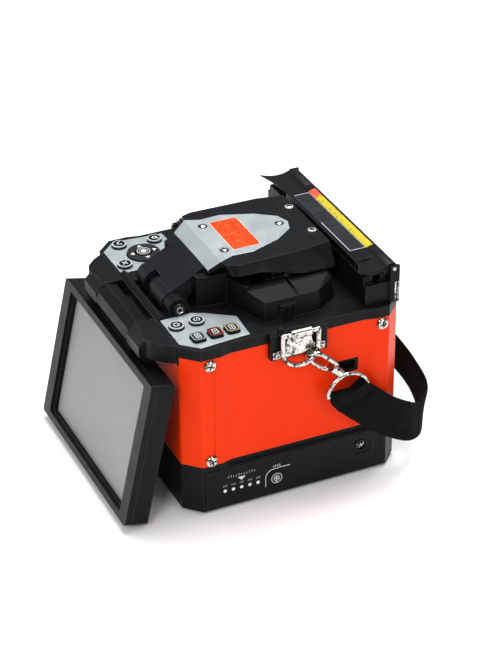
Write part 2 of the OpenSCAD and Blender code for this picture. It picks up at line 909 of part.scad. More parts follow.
// Sloping arm with the two hinge lobes of the windshield
module windshield_arm() color(dark) {
    difference() {
        union() {
            x_rod(ws_barrel_r, -19.5, -8, ws_y, ws_z);
            x_rod(ws_barrel_r, 2, 20, ws_y, ws_z);
            x_prism(-19.5, 20, [[-30.2, 137.8], [-36.3, 137.8], [-36.3, 140.6],
                [-58, 128.4], [-54.5, 120], [-49.6, 119.4], [-36, 132.8], [-30.2, 135]]);
        }
        // gap between the lobes, round the fixed ear
        x_rod(8.3, -8, 2, ws_y, ws_z);
        block([-8, ws_y - 7, 110], [2, ws_y + 7.6, ws_z]);
        x_rod(ws_pin_r + 0.06, -40, 21, ws_y, ws_z);
    }
}

module windshield_plate() color(silver) {
    slab(shield_top - 1, shield_top + 0.3)
        offset(delta = -0.1)
            polygon(shield_plate_plan);
    plate_apron(0);
}

module windshield_rear_plate() color(black) {
    slab(shield_top - 1, shield_top + 0.2)
        offset(delta = -0.1)
            polygon(rear_plate_plan);
}

module windshield_screws() color(steel) {
    for (p = [[16.3, -21.2, 0.3], [-16.3, -21.2, 0.3], [0, 23, 0.3],
            [16.3, 37.4, 0.2], [-16.3, 37.4, 0.2]])
        translate([p[0], p[1], shield_top + p[2]])
            pan_screw(2.3, 1);
}

// ---- Battery pack ----

module battery_case() color([0.1, 0.1, 0.11]) {
    difference() {
        block([batt_x0, -57, 5.2], [70, 55, 29.8]);
        block([batt_x0 + 1.8, -56, 7.2], [68.4, 54, 27.6]);
    }
}

module battery_cells() color([0.15, 0.3, 0.6]) {
    for (i = [0:5])
        x_rod(cell_r, 0, cell_len, -46.5 + i * cell_pitch, 17.4);
}

module battery_face() color(dark) {
    difference() {
        block([70, batt_face_y0, batt_face_z0], [hw + 0.2, batt_face_y1, batt_face_z1]);
        // shallow panel round the charging jack
        block([hw - 0.3, jack_y - 4.6, jack_z - 6.5], [hw + 1, jack_y + 7, jack_z + 5]);
        x_rod(4.4, 60, 80, jack_y, jack_z);
        x_rod(4.1, 60, 80, check_y, check_z);
        for (i = [0:4])
            x_rod(0.9, hw - 2, 80, -47.7 + i * 5.5, 13.6);
    }
}

module dc_jack() color([0.12, 0.12, 0.13]) {
    difference() {
        x_rod(4.3, 70, hw - 0.5, jack_y, jack_z);
        x_rod(3.15, 70.6, 80, jack_y, jack_z);
    }
    x_rod(1, 70.4, hw - 1.2, jack_y, jack_z);
}

module check_button() color([0.16, 0.17, 0.18]) {
    x_rod(3.75, 71.8, hw + 1.2, check_y, check_z);
}

// ---- Keys ----

module round_key(p) color([0.2, 0.21, 0.22]) {
    translate([p.x, p.y, board_top + key_travel + 0.3]) {
        cylinder(r = key_r, h = key_top - board_top - key_travel - 0.9);
        translate([0, 0, key_top - board_top - key_travel - 0.9])
            cylinder(r1 = key_r, r2 = key_r - 0.6, h = 0.6);
    }
}

module square_key(p) color([0.2, 0.21, 0.22]) {
    translate([p.x, p.y, board_top + key_travel + 0.3])
        linear_extrude(key_top - board_top - key_travel - 0.3)
            rounded_square(9.4, 8.2, 2.1);
}

module key_cancel()
    round_key(key_cancel_at);

module key_menu()
    round_key(key_menu_at);

module key_zoom()
    round_key(key_zoom_at);

module key_ok()
    round_key(dpad_at);

module key_power()
    round_key(key_power_at);

module key_reset()
    round_key(key_reset_at);

module key_heat()
    square_key(key_heat_at);

module key_set()
    square_key(key_set_at);

module key_splice()
    square_key(key_splice_at);

// Ring under the cursor ring that lets it rock about both axes
module dpad_gimbal() color([0.3, 0.3, 0.32]) {
    translate([dpad_at.x, dpad_at.y, 0])
        difference() {
            slab(dpad_pivot_z - 1, dpad_pivot_z + 1)
                circle(r = 8.6);
            slab(dpad_pivot_z - 2, dpad_pivot_z + 2)
                circle(r = 5.6);
        }
    // trunnions: one pair in the deck, one pair in the cursor ring
    for (s = [-1, 1]) {
        x_rod(dpad_pin_r, dpad_at.x + s * 10.6 - 2.8, dpad_at.x + s * 10.6 + 2.8, dpad_at.y,
            dpad_pivot_z);
        y_rod(dpad_pin_r, dpad_at.y + s * 9 - 1, dpad_at.y + s * 9 + 1, dpad_at.x, dpad_pivot_z);
    }
}

module dpad_ring() color(black) {
    translate([dpad_at.x, dpad_at.y, 0])
        difference() {
            slab(dpad_pivot_z + 1.7, 118.8)
                circle(r = dpad_r);
            slab(dpad_pivot_z, 130)
                circle(r = 5.5);
        }
    // lugs that hang on the gimbal's second pair of trunnions
    for (s = [-1, 1])
        difference() {
            translate([dpad_at.x, dpad_at.y + s * 9.5, dpad_pivot_z + 0.6])
                cube([3, 1.2, 3.2], center = true);
            y_rod(dpad_pin_r + 0.1, dpad_at.y - 12, dpad_at.y + 12, dpad_at.x, dpad_pivot_z);
        }
}

// ---- Right and left strap hardware ----

module strap_ring_right()
    strap_ring();

module strap_ring_left()
    mirror([1, 0, 0])
        strap_ring();

module snap_hook_right()
    snap_hook();

module snap_hook_left()
    mirror([1, 0, 0])
        snap_hook();

bottom_tray();
rubber_feet();
tripod_insert();
side_panels();
front_panel();
rear_panel();
panel_screws();
upper_housing();
keypad_plates();
circuit_boards();
ring_mounts();
ring_plates();
port_insert();
splicing_platform();
vgroove_block();
electrodes();
microscopes();
feed_motors();
heater_body();
heater_element();
hinge_pins();
strap_back();
monitor_back();
monitor_bezel();
lcd_panel();
windshield_cover();
windshield_arm();
windshield_plate();
windshield_rear_plate();
windshield_screws();
heater_lid();
heater_window();
heater_clamp_left();
heater_clamp_right();
fibre_stage_left();
fibre_stage_right();
fibre_clamp_left();
fibre_clamp_right();
battery_case();
battery_face();
battery_cells();
dc_jack();
check_button();
key_cancel();
key_menu();
key_zoom();
key_ok();
dpad_gimbal();
dpad_ring();
key_power();
key_reset();
key_heat();
key_set();
key_splice();
strap_ring_left();
strap_ring_right();
snap_hook_left();
snap_hook_right();
strap_end_left();
strap_end_right();
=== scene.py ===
"""Looks of a fibre fusion splicer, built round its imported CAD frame.

Metres, in the row frame: +X is the right-hand side, -Y the monitor's side, +Z up.
"""

import math

import bmesh
import bpy
from mathutils import Matrix, Vector


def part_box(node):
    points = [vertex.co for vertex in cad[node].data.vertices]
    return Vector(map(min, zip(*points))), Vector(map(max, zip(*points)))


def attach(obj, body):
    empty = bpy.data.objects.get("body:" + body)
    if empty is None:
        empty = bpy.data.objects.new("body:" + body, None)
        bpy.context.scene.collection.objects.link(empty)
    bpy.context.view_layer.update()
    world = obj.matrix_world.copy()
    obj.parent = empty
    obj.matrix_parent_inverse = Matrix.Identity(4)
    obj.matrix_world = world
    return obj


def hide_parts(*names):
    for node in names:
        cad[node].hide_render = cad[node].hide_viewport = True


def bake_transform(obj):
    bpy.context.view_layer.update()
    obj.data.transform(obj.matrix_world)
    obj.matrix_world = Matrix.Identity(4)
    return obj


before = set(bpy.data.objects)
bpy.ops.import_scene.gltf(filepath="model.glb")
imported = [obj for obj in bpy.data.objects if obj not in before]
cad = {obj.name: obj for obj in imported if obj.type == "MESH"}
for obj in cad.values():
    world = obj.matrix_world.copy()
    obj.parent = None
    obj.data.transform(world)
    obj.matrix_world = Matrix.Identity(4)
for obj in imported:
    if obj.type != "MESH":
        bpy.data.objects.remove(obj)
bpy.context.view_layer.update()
MM = 0.001
MARK = 0.09 * MM


def mm(*values):
    """A point given in millimetres, as a vector in metres."""
    return Vector(values) * MM


# ---------------------------------------------------------------- finishes


class Finish:
    """A Principled surface whose colour, roughness and height come from noise in object space."""

    def __init__(self, name, colour, roughness, metallic=0.0):
        self.material = bpy.data.materials.new(name)
        self.material.use_nodes = True
        self.nodes = self.material.node_tree.nodes
        self.links = self.material.node_tree.links
        self.shader = self.nodes["Principled BSDF"]
        self.colour = (*colour, 1.0)
        self.roughness = roughness
        self.shader.inputs["Base Color"].default_value = self.colour
        self.shader.inputs["Roughness"].default_value = roughness
        self.shader.inputs["Metallic"].default_value = metallic
        self.place = self.nodes.new("ShaderNodeTexCoord").outputs["Object"]
        self.material.diffuse_color = self.colour
        self.paint = None
        self.normal = None
        self.slot = None

    def noise(self, size, detail=3.0):
        """Noise with features of the given size in metres."""
        noise = self.nodes.new("ShaderNodeTexNoise")
        noise.inputs["Scale"].default_value = 1.0 / size
        noise.inputs["Detail"].default_value = detail
        self.links.new(self.place, noise.inputs["Vector"])
        return noise.outputs["Fac"]

    def ranged(self, value, low, high, out_low, out_high):
        """A value's range mapped to another range, clamped."""
        node = self.nodes.new("ShaderNodeMapRange")
        for socket, number in zip(node.inputs[1:5], (low, high, out_low, out_high)):
            socket.default_value = number
        self.links.new(value, node.inputs[0])
        return node.outputs[0]

    def mixed(self, factor, other, low=0.0, high=1.0):
        """The paint so far mixed towards another colour where the factor is high."""
        mix = self.nodes.new("ShaderNodeMix")
        mix.data_type = "RGBA"
        self.links.new(self.ranged(factor, low, high, 0.0, 1.0), mix.inputs["Factor"])
        if self.paint is None:
            mix.inputs[6].default_value = self.colour
        else:
            self.links.new(self.paint, mix.inputs[6])
        mix.inputs[7].default_value = (*other, 1.0)
        self.paint = mix.outputs[2]
        self.links.new(self.paint, self.shader.inputs["Base Color"])
        return self

    def mottled(self, size, shade, low=0.45, high=0.75):
        """Patches of a slightly different shade."""
        return self.mixed(self.noise(size), shade, low, high)

    def smeared(self, size, spread):
        """Roughness that varies in patches, as handled surfaces do."""
        low = max(0.02, self.roughness - spread)
        rough = self.ranged(self.noise(size, 4.0), 0.3, 0.7, low, self.roughness + spread)
        self.links.new(rough, self.shader.inputs["Roughness"])
        return self

    def height(self, value, depth, strength=1.0):
        """A bump of the given depth in metres, on top of the bumps so far."""
        bump = self.nodes.new("ShaderNodeBump")
        bump.inputs["Strength"].default_value = strength
        bump.inputs["Distance"].default_value = depth
        self.links.new(value, bump.inputs["Height"])
        if self.normal is not None:
            self.links.new(self.normal, bump.inputs["Normal"])
        self.normal = bump.outputs["Normal"]
        self.links.new(self.normal, self.shader.inputs["Normal"])
        return self

    def grained(self, size, depth):
        """Fine texture of the given grain size and depth, in metres."""
        return self.height(self.noise(size, 2.0), depth)

    def softened(self, radius, edge_highlight=None, gain=2.5):
        """Edges that look rounded to a radius, with a painted highlight colour mixed in along them."""
        bevel = self.nodes.new("ShaderNodeBevel")
        bevel.samples = 4
        bevel.inputs["Radius"].default_value = radius
        self.normal = bevel.outputs["Normal"]
        self.links.new(self.normal, self.shader.inputs["Normal"])
        # Painted highlight: the highlight colour is mixed in where the bevelled normal turns away from the
        # true one, along edges.
        if edge_highlight is not None:
            geometry = self.nodes.new("ShaderNodeNewGeometry")
            facing = self.nodes.new("ShaderNodeVectorMath")
            facing.operation = "DOT_PRODUCT"
            self.links.new(bevel.outputs["Normal"], facing.inputs[0])
            self.links.new(geometry.outputs["True Normal"], facing.inputs[1])
            self.mixed(facing.outputs["Value"], edge_highlight, 1.0, 1.0 - 1.0 / (gain * 4))
        return self


PLASTIC_GLOSS = 0.12
PRINT_GRAIN = (0.0003, 0.000004)
# Height above which the front panel carries a band of painted shadow.
SHADOW_LEVEL = 104.2 * MM
SHADOW_BLUR = 0.3 * MM


def plastic(name, colour, roughness, edge_highlight, grain=0.00045, depth=0.00002):
    """A moulded plastic: fine texture, softened edges with a painted highlight, a little handling."""
    shade = [channel * 1.35 for channel in colour]
    made = Finish(name, colour, roughness)
    made.shader.inputs["Specular IOR Level"].default_value = PLASTIC_GLOSS
    made.softened(0.0005, edge_highlight)
    made.mottled(0.02, shade)
    made.smeared(0.012, 0.07)
    made.grained(grain, depth)
    return made


def bare_metal(name, colour, roughness, grain=0.0006, depth=0.000006):
    """A metal surface with light tooling or plating marks."""
    made = Finish(name, colour, roughness, 1.0)
    made.softened(0.0003)
    made.mottled(0.004, [channel * 0.8 for channel in colour])
    made.smeared(0.003, roughness * 0.4)
    made.grained(grain, depth)
    return made


# The fourth colour given to each plastic is the painted highlight along its edges.
black = plastic("black_plastic", (0.0038, 0.0042, 0.005), 0.4, (0.045, 0.048, 0.052))
dark = plastic("dark_plastic", (0.008, 0.009, 0.0105), 0.38, (0.06, 0.062, 0.07))
monitor_black = plastic("monitor_plastic", (0.0042, 0.0045, 0.0055), 0.36, (0.045, 0.047, 0.052))
inner_black = plastic("inner_plastic", (0.006, 0.006, 0.007), 0.6, (0.02, 0.02, 0.02))
rubber = plastic("rubber_feet", (0.011, 0.011, 0.011), 0.75, (0.03, 0.03, 0.03), 0.0007, 0.00004)
key_black = plastic("key_black", (0.016, 0.017, 0.018), 0.34, (0.09, 0.09, 0.09))


def shadowed_above(finish, level, shade):
    """Painted shadow: the finish turns to a dark colour above a height."""
    split = finish.nodes.new("ShaderNodeSeparateXYZ")
    finish.links.new(finish.place, split.inputs["Vector"])
    return finish.mixed(split.outputs["Z"], shade, level - SHADOW_BLUR, level)


def panel_orange(name):
    """Bright orange painted metal."""
    made = Finish(name, (0.86, 0.034, 0.0), 0.34)
    # A lighter orange mixed in along the edges: painted highlight.
    made.softened(0.0006, (1.0, 0.09, 0.01))
    made.mottled(0.05, (0.9, 0.04, 0.0))
    made.smeared(0.03, 0.05)
    made.grained(0.0011, 0.00001)
    made.shader.inputs["Specular IOR Level"].default_value = 0.1
    return made


orange = panel_orange("orange_panel")
front_orange_shadowed = panel_orange("front_orange_with_painted_shadow")
# A black band of painted shadow across the top of the orange front panel, where the gap under the monitor
# hinge lies in shade.
shadowed_above(front_orange_shadowed, SHADOW_LEVEL, (0.004, 0.0042, 0.005))

silver = Finish("silver_plate", (0.41, 0.46, 0.47), 0.34, 0.5)
# Near-white mixed in along the edges: painted highlight.
silver.softened(0.0005, (0.85, 0.88, 0.9))
silver.mottled(0.03, (0.45, 0.5, 0.51))
silver.smeared(0.01, 0.07)
silver.grained(0.00035, 0.000008)

chrome = bare_metal("chrome", (0.62, 0.6, 0.56), 0.14, 0.0016, 0.00006)
# Dark and near-white blotches in the chrome's colour are painted reflections.
chrome.mottled(0.0026, (0.05, 0.045, 0.035), 0.5, 0.6)
chrome.mottled(0.0011, (0.9, 0.88, 0.84), 0.56, 0.62)
machined = bare_metal("machined_metal", (0.5, 0.51, 0.53), 0.3)
brass = bare_metal("brass", (0.62, 0.45, 0.18), 0.28)
electrode = bare_metal("electrode_metal", (0.6, 0.59, 0.56), 0.25)
ceramic = plastic("ceramic", (0.78, 0.78, 0.74), 0.3, (0.9, 0.9, 0.86))
optics = plastic("optics_black", (0.02, 0.02, 0.022), 0.3, (0.08, 0.08, 0.09))
board = plastic("circuit_board", (0.01, 0.08, 0.03), 0.35, (0.04, 0.2, 0.09))
cells = plastic("cell_wrap", (0.03, 0.09, 0.28), 0.28, (0.1, 0.2, 0.4))
white_paint = plastic("white_print", (0.72, 0.73, 0.72), 0.45, (0.8, 0.8, 0.8), *PRINT_GRAIN)
cream_screw = plastic("pale_screw", (0.5, 0.51, 0.52), 0.3, (0.7, 0.7, 0.72))

glass_panel = Finish("display", (0.25, 0.255, 0.25), 0.46)
glass_panel.mottled(0.09, (0.28, 0.285, 0.275), 0.35, 0.7)
glass_panel.smeared(0.03, 0.04)
glass_panel.grained(0.0003, 0.000006)

smoked = Finish("smoked_window", (0.016, 0.018, 0.021), 0.14)
# Pale grey mixed in along the edges: painted highlight.
smoked.softened(0.0004, (0.35, 0.37, 0.4), 1.5)
smoked.mottled(0.02, (0.03, 0.034, 0.037))
smoked.smeared(0.008, 0.05)
smoked.grained(0.004, 0.00003)
smoked.shader.inputs["Transmission Weight"].default_value = 0.3
smoked.shader.inputs["IOR"].default_value = 1.45

SLOTS = {
    "black_plastic": [black, dark, inner_black],
    "key_cap": [key_black],
    "chrome": [chrome],
    "silver_plate": [silver],
    "orange_panel": [orange, front_orange_shadowed],
}
for slot_name, users in SLOTS.items():
    for user in users:
        user.slot = slot_name

NODE_FINISHES = {
    black: """bottom_tray upper_housing windshield_cover ring_mounts port_insert monitor_back
        heater_body heater_lid heater_clamp_left heater_clamp_right key_heat key_set key_splice
        windshield_rear_plate""",
    monitor_black: "monitor_bezel battery_face battery_case",
    dark: "windshield_arm dpad_gimbal",
    inner_black: "splicing_platform feed_motors",
    rubber: "rubber_feet",
    key_black: "key_cancel key_menu key_zoom key_ok dpad_ring key_power key_reset check_button",
    orange: "side_panels rear_panel",
    front_orange_shadowed: "front_panel",
    silver: "keypad_plates windshield_plate",
    chrome: """ring_plates panel_screws strap_ring_left strap_ring_right snap_hook_left snap_hook_right
        dc_jack windshield_screws""",
    machined: "hinge_pins vgroove_block heater_element fibre_stage_left fibre_stage_right",
    optics: "microscopes fibre_clamp_left fibre_clamp_right",
    brass: "tripod_insert",
    electrode: "electrodes",
    board: "circuit_boards",
    cells: "battery_cells",
    glass_panel: "lcd_panel",
    smoked: "heater_window",
}


def paint(obj, finish):
    """Gives an object one finish on all its faces."""
    obj.data.materials.clear()
    obj.data.materials.append(finish.material)


for finish, names in NODE_FINISHES.items():
    for name in names.split():
        paint(cad[name], finish)


# ---------------------------------------------------------------- studio and camera


def area_lamp(name, place, target, width, height, power):
    """A soft rectangular lamp aimed at a point."""
    lamp = bpy.data.lights.new(name, "AREA")
    lamp.shape = "RECTANGLE"
    lamp.size = width
    lamp.size_y = height
    lamp.energy = power
    holder = bpy.data.objects.new(name, lamp)
    bpy.context.scene.collection.objects.link(holder)
    holder.location = place
    holder.rotation_mode = "QUATERNION"
    holder.rotation_quaternion = (Vector(target) - Vector(place)).to_track_quat("-Z", "Y")


def studio():
    """A plain pale floor and a pale surround with soft lamps."""
    mesh = bpy.data.meshes.new("floor")
    reach = 6.0
    corners = [(-reach, -reach, 0), (reach, -reach, 0), (reach, reach, 0), (-reach, reach, 0)]
    mesh.from_pydata(corners, [], [(0, 1, 2, 3)])
    floor = bpy.data.objects.new("floor", mesh)
    bpy.context.scene.collection.objects.link(floor)
    pale = Finish("floor_paper", (0.9, 0.9, 0.9), 0.8)
    pale.mottled(0.3, (0.92, 0.92, 0.92))
    paint(floor, pale)
    world = bpy.data.worlds.new("surround")
    world.use_nodes = True
    world.node_tree.nodes["Background"].inputs["Color"].default_value = (0.95, 0.97, 1.0, 1)
    world.node_tree.nodes["Background"].inputs["Strength"].default_value = 0.34
    bpy.context.scene.world = world
    middle = (0, 0, 0.08)
    area_lamp("key_lamp", (0.9, -0.9, 1.1), middle, 0.5, 0.5, 9)
    area_lamp("top_lamp", (-0.2, 0.2, 1.3), middle, 0.9, 0.9, 23)
    area_lamp("side_lamp", (1.4, 0.5, 0.5), middle, 0.25, 0.8, 3)
    area_lamp("left_lamp", (-0.9, -1.0, 0.6), middle, 0.4, 0.7, 3)


def camera():
    """The view of the photograph."""
    lens = bpy.data.cameras.new("view")
    lens.lens = 119.7
    lens.sensor_width = 36.0
    lens.clip_start = 0.05
    lens.clip_end = 20.0
    holder = bpy.data.objects.new("view", lens)
    bpy.context.scene.collection.objects.link(holder)
    right = Vector((0.4158, 0.9094, -0.0065))
    up = Vector((-0.4729, 0.2223, 0.8526))
    back = Vector((0.7768, -0.3514, 0.5226))
    turn = Matrix((right, up, back)).transposed()
    place = Matrix.Translation((1.0679, -0.4821, 0.7935))
    holder.matrix_world = place @ turn.to_4x4()
    bpy.context.scene.camera = holder
    bpy.context.scene.view_settings.view_transform = "Standard"


studio()
camera()

# ---------------------------------------------------------------- mesh helpers


def add_mesh(name, bm, finish, body, smooth=None):
    """Links a bmesh as a named piece that rides on a body."""
    bmesh.ops.recalc_face_normals(bm, faces=bm.faces)
    mesh = bpy.data.meshes.new(name)
    bm.to_mesh(mesh)
    bm.free()
    obj = bpy.data.objects.new(name, mesh)
    bpy.context.scene.collection.objects.link(obj)
    paint(obj, finish)
    if smooth is not None:
        for polygon in mesh.polygons:
            polygon.use_smooth = True
        mesh.set_sharp_from_angle(angle=math.radians(smooth))
    if body is not None:
        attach(obj, body)
    return obj


class Plane:
    """A drawing plane: a point, a direction across it, a direction up it."""

    def __init__(self, origin, across, up):
        self.origin = Vector(origin)
        self.across = Vector(across).normalized()
        self.up = Vector(up).normalized()
        self.out = self.across.cross(self.up)

    def at(self, u, v, h=0.0):
        return self.origin + self.across * u + self.up * v + self.out * h

    def spun(self, angle):
        """The same plane, turned about the direction it looks in."""
        across = self.across * math.cos(angle) + self.up * math.sin(angle)
        up = self.up * math.cos(angle) - self.across * math.sin(angle)
        return Plane(self.origin, across, up)


def side_plane(x, y=0.0, z=0.0, side=1):
    """A plane that looks to the right, or to the left with side -1."""
    return Plane((x, y, z), (0, side, 0), (0, 0, 1))


def flat_plane(x, y, z):
    """A level plane that looks up."""
    return Plane((x, y, z), (1, 0, 0), (0, 1, 0))


def circle(radius, count=40, u=0.0, v=0.0, start=0.0, span=2 * math.pi):
    """Points round a circle or an arc of it."""
    whole = abs(span - 2 * math.pi) < 1e-6
    steps = count if whole else count - 1
    angles = [start + span * i / steps for i in range(count)]
    return [(u + radius * math.cos(a), v + radius * math.sin(a)) for a in angles]


def rounded(width, height, radius, u=0.0, v=0.0):
    """Points round a rectangle with rounded corners, centred on (u, v)."""
    per_corner = 6
    points = []
    for turn, (su, sv) in enumerate(((1, 1), (-1, 1), (-1, -1), (1, -1))):
        cu = u + su * (width / 2 - radius)
        cv = v + sv * (height / 2 - radius)
        points += circle(radius, per_corner, cu, cv, turn * math.pi / 2, math.pi / 2)
    return points


def join_rings(bm, rings):
    """Faces between each closed ring of vertices and the next."""
    for a, b in zip(rings, rings[1:]):
        for i in range(len(a)):
            j = (i + 1) % len(a)
            bm.faces.new((a[i], a[j], b[j], b[i]))


def tube(bm, rings):
    """A tube through rings of vertices, closed at both ends."""
    join_rings(bm, rings)
    bm.faces.new(rings[0][::-1])
    bm.faces.new(rings[-1])


def prism(bm, plane, outline, low, high, edge=0.0):
    """A plate between two heights over a plane, with a small chamfer round its top."""
    rings = [[bm.verts.new(plane.at(u, v, low)) for u, v in outline]]
    rings.append([bm.verts.new(plane.at(u, v, high - edge)) for u, v in outline])
    if edge > 0:
        mid_u = sum(p[0] for p in outline) / len(outline)
        mid_v = sum(p[1] for p in outline) / len(outline)
        reach = max(math.hypot(u - mid_u, v - mid_v) for u, v in outline)
        keep = 1 - edge / reach
        inner = [(mid_u + (u - mid_u) * keep, mid_v + (v - mid_v) * keep) for u, v in outline]
        rings.append([bm.verts.new(plane.at(u, v, high)) for u, v in inner])
    tube(bm, rings)


def band(bm, plane, outer, inner, low, high):
    """A closed band between two outlines with the same number of points."""
    loops = ((outer, low), (outer, high), (inner, high), (inner, low))
    rings = [[bm.verts.new(plane.at(u, v, h)) for u, v in points] for points, h in loops]
    join_rings(bm, rings + rings[:1])


def stroke(bm, plane, points, width, low, high):
    """A line of even width drawn on a plane through the points."""
    sides = ([], [])
    for i, point in enumerate(points):
        before = Vector(points[max(0, i - 1)])
        after = Vector(points[min(len(points) - 1, i + 1)])
        along = (after - before).normalized()
        across = Vector((-along.y, along.x)) * (width / 2)
        sides[0].append((point[0] + across.x, point[1] + across.y))
        sides[1].append((point[0] - across.x, point[1] - across.y))
    for i in range(len(points) - 1):
        quad = [sides[0][i], sides[1][i], sides[1][i + 1], sides[0][i + 1]]
        prism(bm, plane, quad, low, high)


def sweep(bm, points, radius):
    """A thin round wire along the points, in metres."""
    turns = [math.pi * k / 3 for k in range(6)]
    rings = []
    normal = None
    for i, point in enumerate(points):
        along = points[min(i + 1, len(points) - 1)] - points[max(i - 1, 0)]
        along.normalize()
        if normal is None:
            normal = along.orthogonal().normalized()
        normal = (normal - along * normal.dot(along)).normalized()
        other = along.cross(normal)
        spokes = [normal * math.cos(t) + other * math.sin(t) for t in turns]
        rings.append([bm.verts.new(point + spoke * radius) for spoke in spokes])
    tube(bm, rings)


def turned(bm, plane, profile, count=40):
    """A turned shape: (radius, height) points spun round the plane's outward axis."""
    rings = []
    for radius, height in profile:
        if radius < 1e-7:
            rings.append([bm.verts.new(plane.at(0, 0, height))])
        else:
            rings.append([bm.verts.new(plane.at(u, v, height)) for u, v in circle(radius, count)])
    for a, b in zip(rings, rings[1:]):
        for i in range(count):
            j = (i + 1) % count
            corners = [a[i % len(a)], a[j % len(a)], b[j % len(b)], b[i % len(b)]]
            unique = list(dict.fromkeys(corners))
            if len(unique) > 2:
                bm.faces.new(unique)


def in_mm(points):
    """A list of (u, v) pairs given in millimetres, in metres."""
    return [(u * MM, v * MM) for u, v in points]


def turned_piece(name, plane, profile, finish, body, count=40, smooth=40):
    """A piece turned from (radius, height) pairs given in millimetres."""
    bm = bmesh.new()
    turned(bm, plane, in_mm(profile), count)
    add_mesh(name, bm, finish, body, smooth)


def draw_lines(bm, plane, lines):
    """Printed lines, raised by MARK: each is its width and its points in millimetres."""
    for width, points in lines:
        stroke(bm, plane, in_mm(points), width * MM, 0.0, MARK)


def drawn_piece(name, plane, lines, finish, body):
    """A piece made of lines drawn on a plane."""
    bm = bmesh.new()
    draw_lines(bm, plane, lines)
    add_mesh(name, bm, finish, body)


def centre_of(node):
    low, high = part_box(node)
    return (low + high) / 2


def top_plane(node, lift=0.0):
    """A plane on top of a CAD node, with +X across and +Y up."""
    spot = centre_of(node)
    return flat_plane(spot.x, spot.y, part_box(node)[1].z + lift)


# ---------------------------------------------------------------- keypads

rim_grey = plastic("rim_grey", (0.36, 0.39, 0.4), 0.3, (0.6, 0.62, 0.62))
rim_green = plastic("rim_green", (0.17, 0.21, 0.2), 0.3, (0.4, 0.46, 0.44))
rim_red = plastic("rim_red", (0.16, 0.012, 0.008), 0.3, (0.5, 0.08, 0.05))
rim_yellow = plastic("rim_yellow", (0.22, 0.2, 0.1), 0.3, (0.5, 0.46, 0.25))
key_face = plastic("key_face", (0.006, 0.006, 0.007), 0.3, (0.03, 0.03, 0.03))

ROUND_KEYS = ("key_cancel", "key_menu", "key_zoom", "key_power", "key_reset")


def round_key(node):
    """A pale rim standing round a black face, on top of a round key."""
    plane = top_plane(node)
    radius = 4.6
    rim = [(0.99, -0.9), (0.995, -0.15), (0.93, 0.1), (0.84, 0.1), (0.79, -0.05), (0.79, -0.3)]
    dish = [(0.795, 0.11), (0.6, 0.05), (0.0, 0.01)]
    for part, profile, finish, smooth in (("_rim", rim, rim_grey, 35), ("_face", dish, key_face, 60)):
        sized = [(radius * share, height) for share, height in profile]
        turned_piece(node + part, plane, sized, finish, node + "_cap", smooth=smooth)


for node in ROUND_KEYS:
    round_key(node)


def key_marks():
    """Plain marks on the round keys: a cross, a hook, a ring with a handle, a lamp sign, two arcs."""
    wide = 0.7
    narrow = 0.56
    cross = [(wide, [(-1.5, -1.5), (1.5, 1.5)]), (wide, [(-1.5, 1.5), (1.5, -1.5)])]
    hook = circle(1.95, 9, 0.2, 0.9, math.pi * 0.95, math.pi * 0.75)
    open_ring = circle(1.8, 16, 0, 0, math.pi * 0.7, math.pi * 1.6)
    arcs = [circle(1.8, 14, 0, 0, start, math.pi * 0.85) for start in (0.3, 0.3 + math.pi)]
    marks = {
        "cancel": cross,
        "menu": [(wide, hook), (wide, [(0.9, 0.15), (1.8, 1.35)])],
        "zoom": [(wide, [(1.2, 1.2), (2.4, 2.25)])],
        "power": [(narrow, open_ring), (narrow, [(0, 0.3), (0, 2.25)])],
        "reset": [(narrow, arc) for arc in arcs] + [(wide, [(-0.6, 0), (0.6, 0)])],
    }
    for key, lines in marks.items():
        plane = top_plane("key_" + key, 0.08 * MM)
        bm = bmesh.new()
        if key == "zoom":
            band(bm, plane, circle(1.65 * MM, 24), circle(0.975 * MM, 24), 0.0, MARK)
        draw_lines(bm, plane, lines)
        add_mesh(key + "_mark", bm, white_paint, f"key_{key}_cap")


key_marks()


def square_key(node, rim_finish, drawing):
    """A coloured rim and a boxed mark on a rounded square key."""
    plane = top_plane(node)
    wide = 9.1 * MM
    deep = 7.9 * MM
    corner = 2.4 * MM
    bm = bmesh.new()
    outer = rounded(wide * 0.995, deep * 0.995, corner)
    inner = rounded(wide * 0.8, deep * 0.78, corner * 0.75)
    band(bm, plane, outer, inner, -0.5 * MM, 0.1 * MM)
    add_mesh(node + "_rim", bm, rim_finish, node + "_cap")
    bm = bmesh.new()
    prism(bm, plane, rounded(wide * 0.79, deep * 0.77, corner * 0.7), -0.1 * MM, 0.06 * MM)
    add_mesh(node + "_face", bm, key_face, node + "_cap")
    corners = [(-1, -1), (1, -1), (1, 1), (-1, 1)]
    frame_lines = [list(ends) for ends in zip(corners, corners[1:] + corners[:1])]
    half_u = 2.4
    half_v = 1.5
    lines = [(0.5, [(u * half_u, v * half_v) for u, v in line]) for line in frame_lines + drawing]
    drawn_piece(node + "_mark", top_plane(node, 0.06 * MM), lines, white_paint, node + "_cap")


square_key("key_heat", rim_green, [[(u, -0.5), (u, 0.5)] for u in (-0.45, 0.0, 0.45)])
square_key("key_set", rim_red, [[(-0.5, 0), (0.5, 0)], [(0, -0.5), (0, 0.5)]])
joint_mark = [[(-0.7, 0), (-0.15, 0)], [(0.15, 0), (0.7, 0)], [(0, -0.4), (0, 0.4)]]
square_key("key_splice", rim_yellow, joint_mark)


